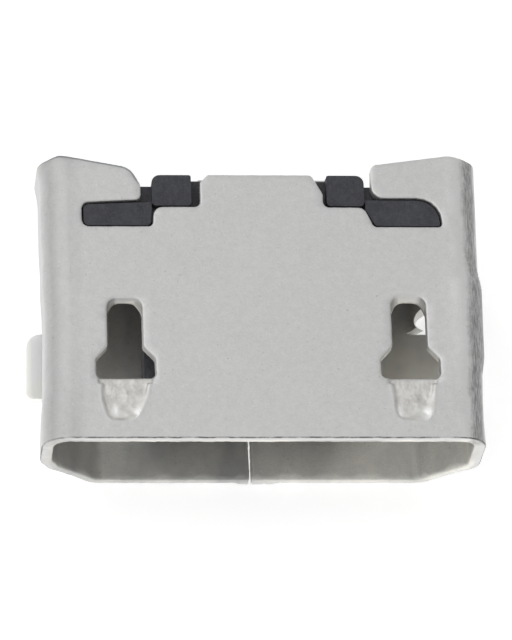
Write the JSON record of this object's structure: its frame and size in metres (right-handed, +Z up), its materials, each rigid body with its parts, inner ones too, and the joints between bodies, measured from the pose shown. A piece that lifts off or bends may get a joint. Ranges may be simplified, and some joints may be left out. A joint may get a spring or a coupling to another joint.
{
  "type": "micro usb socket",
  "caption": "Board-mounted cable socket: folded sheet shell with latch windows and solder feet, moulded housing with a tongue, and stamped contacts with solder tails.",
  "frame": {"origin": "on the board plane, under the middle of the socket's outline, tails and feet included", "axes": "+X across the socket with the ground contact on the plus side, +Y from the plug mouth to the rear, +Z up from the board"},
  "size_m": [0.0076, 0.0054, 0.0022],
  "materials": {
    "shell": "matte tin-plated sheet, bright on its cut edges and coined ramps",
    "housing": "matte moulded black",
    "contacts": "gold-plated, smooth"
  },
  "bodies": {
    "root": {"shell": "shell", "housing": "housing", "contact_power": "contacts", "contact_data_minus": "contacts", "contact_data_plus": "contacts", "contact_ident": "contacts", "contact_ground": "contacts"}
  },
  "joints": []
}
